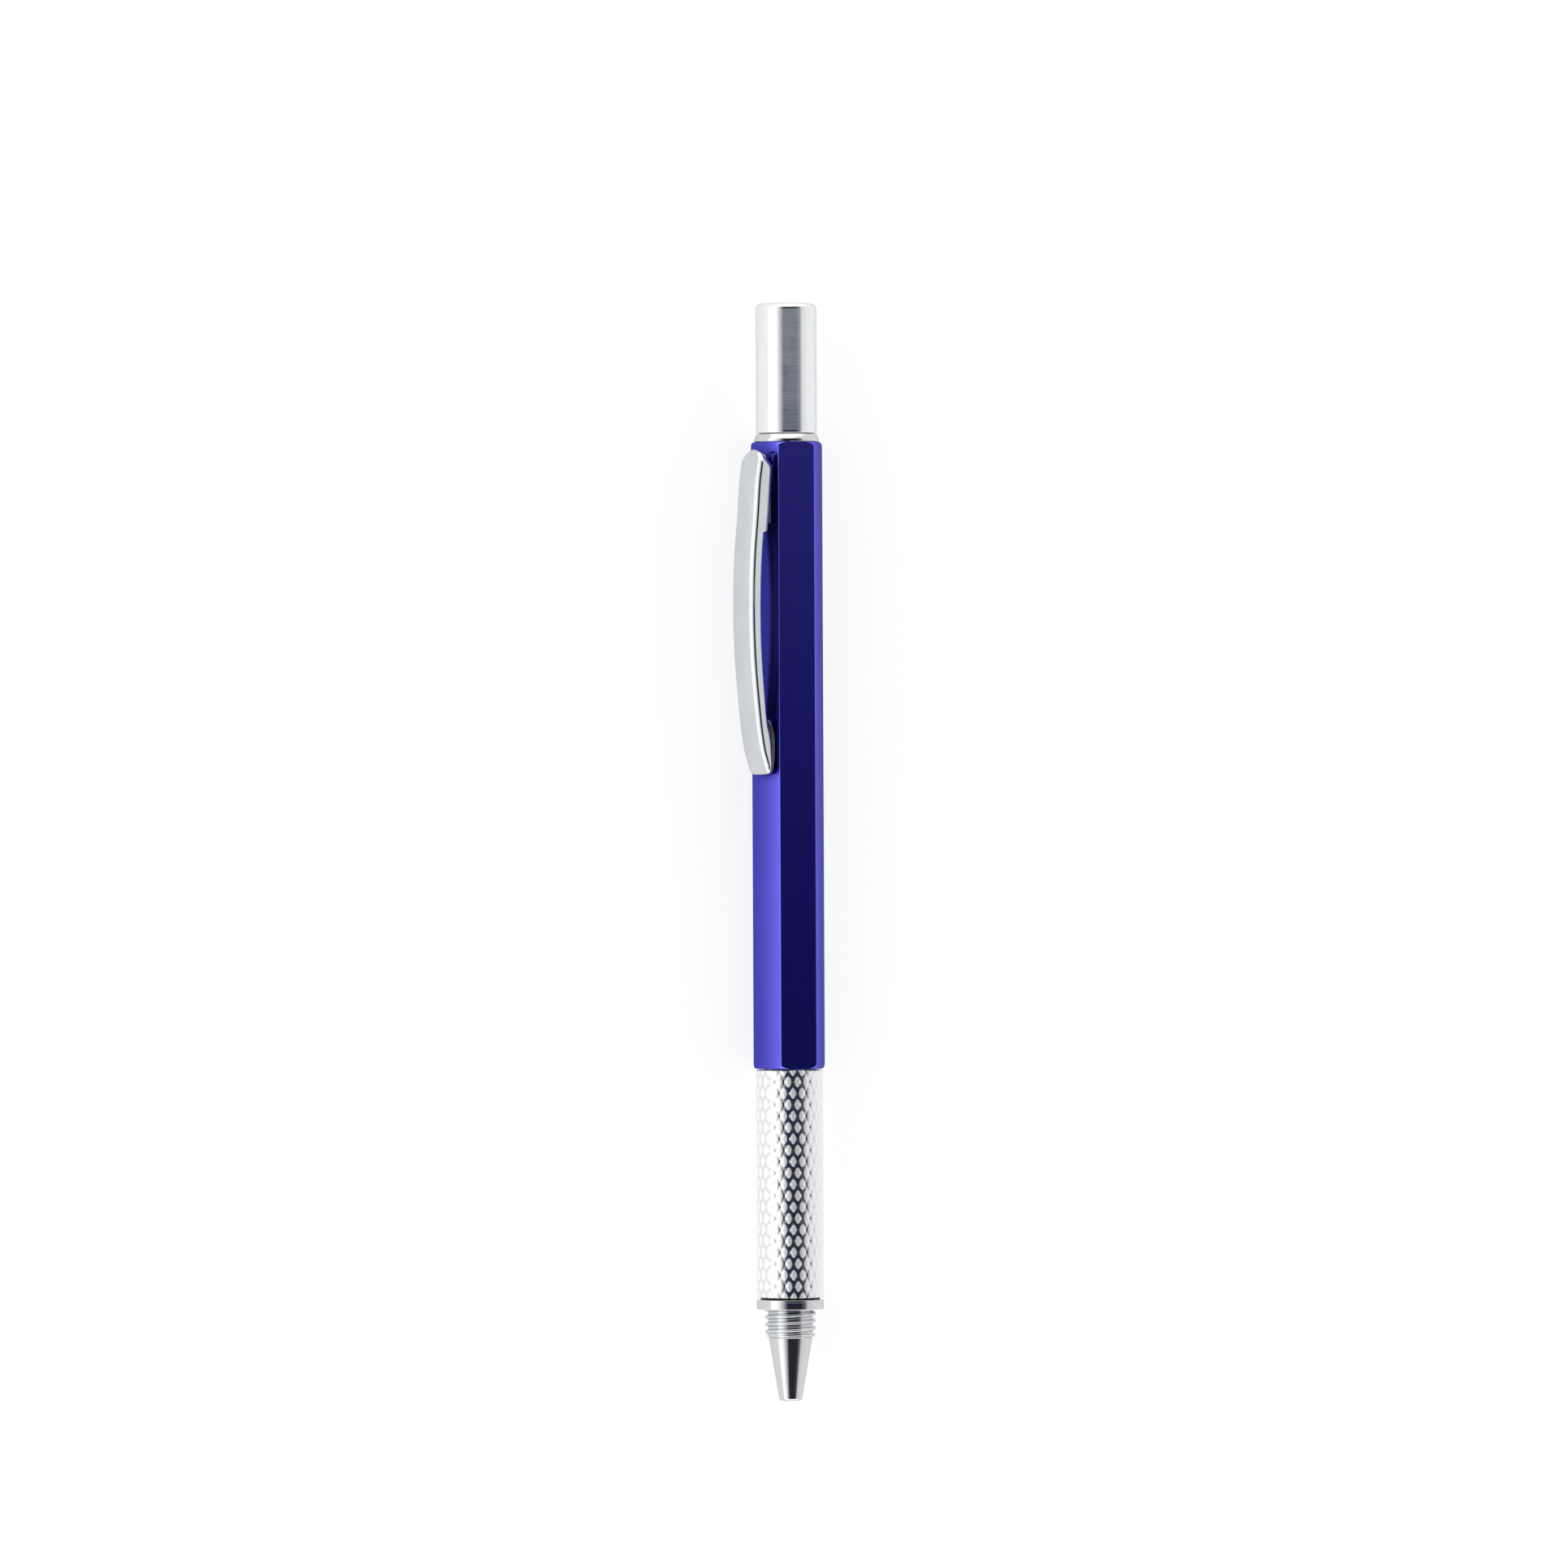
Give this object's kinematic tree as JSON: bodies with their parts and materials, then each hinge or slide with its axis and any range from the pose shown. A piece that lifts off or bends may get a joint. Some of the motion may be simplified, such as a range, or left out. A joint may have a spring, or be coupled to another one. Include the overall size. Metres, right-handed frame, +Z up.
{
  "type": "twist-action tool pen",
  "caption": "Hexagonal twist-action ballpoint pen with a knurled grip, a spring clip, a screw-in nose and a push-on cap over a reversible screwdriver bit.",
  "frame": {"origin": "middle of the barrel's lower flat, on which the pen lies, half way between its two ends", "axes": "+Y along the pen from the writing tip to the cap, +Z up, +X to the right seen from above with the cap away; the clip is on the flat that looks up and toward -X"},
  "size_m": [0.0138, 0.15, 0.0108],
  "materials": {
    "blue_anodised": "anodised, fine satin",
    "chrome_plate": "bright plated",
    "chrome_sheet": "plated spring steel",
    "plated_aluminium": "bright plated",
    "spring_steel": "bright drawn",
    "tool_steel": "satin",
    "magnet": "nickel plated",
    "brass": "turned",
    "white_plastic": "moulded",
    "refill_plastic": "translucent tube over blue ink",
    "rubber": "matt"
  },
  "bodies": {
    "barrel": {"hex_barrel": "blue_anodised", "top_collar": "chrome_plate", "neck_ring": "rubber", "bit_holder": "tool_steel", "bit_magnet": "magnet", "clip_head": "chrome_sheet", "clip_rivet_front": "spring_steel", "clip_rivet_rear": "spring_steel", "cam_sleeve": "white_plastic", "retaining_ring": "spring_steel", "twist_ring": "rubber"},
    "cap": {"cap_shell": "plated_aluminium", "cap_liner": "white_plastic"},
    "bit": {"screwdriver_bit": "tool_steel"},
    "clip_arm": {"clip_arm": "chrome_sheet"},
    "grip": {"grip_sleeve": "plated_aluminium", "grip_core": "brass", "front_ring": "chrome_plate", "drive_tube": "brass"},
    "refill": {"refill_carrier": "white_plastic", "cam_pin": "spring_steel", "refill_tube": "refill_plastic", "refill_tip": "brass", "spring_seat": "brass"},
    "ball": {"tip_ball": "tool_steel"},
    "spring": {"nose_spring": "spring_steel"},
    "nose": {"nose_cone": "chrome_plate"}
  },
  "joints": [
    {"name": "grip_twist", "type": "hinge", "parent": "barrel", "child": "grip", "pos_m": [0, 0, 0.00445], "axis": [0, -1, 0], "range_deg": [0, 180]},
    {"name": "refill_feed", "type": "slide", "parent": "grip", "child": "refill", "axis": [0, -1, 0], "range_m": [0, 0.004], "deforming": ["nose_spring"]},
    {"name": "ball_roll", "type": "hinge", "parent": "refill", "child": "ball", "pos_m": [0, -0.0734, 0.00445], "axis": [1, 0, 0], "continuous": true},
    {"name": "nose_feed", "type": "slide", "parent": "grip", "child": "spring", "axis": [0, -1, 0], "range_m": [0, 0.004]},
    {"name": "nose_unscrew", "type": "hinge", "parent": "spring", "child": "nose", "pos_m": [0, 0, 0.00445], "axis": [0, -1, 0], "range_deg": [0, 1440]},
    {"name": "cap_pull", "type": "slide", "parent": "barrel", "child": "cap", "axis": [0, 1, 0], "range_m": [0, 0.02]},
    {"name": "bit_pull", "type": "slide", "parent": "barrel", "child": "bit", "axis": [0, 1, 0], "range_m": [0, 0.0027]},
    {"name": "clip_flex", "type": "hinge", "parent": "barrel", "child": "clip_arm", "pos_m": [-0.00716, 0.0435, 0.00859], "axis": [-0.5, 0, -0.866], "range_deg": [0, 4], "stiffness_Nm_per_rad": 3.8}
  ],
  "couplings": [
    {"joint": "grip_twist", "follows": "refill_feed", "rad_per_m": 785.4},
    {"joint": "nose_unscrew", "follows": "nose_feed", "rad_per_m": 6283.2}
  ]
}
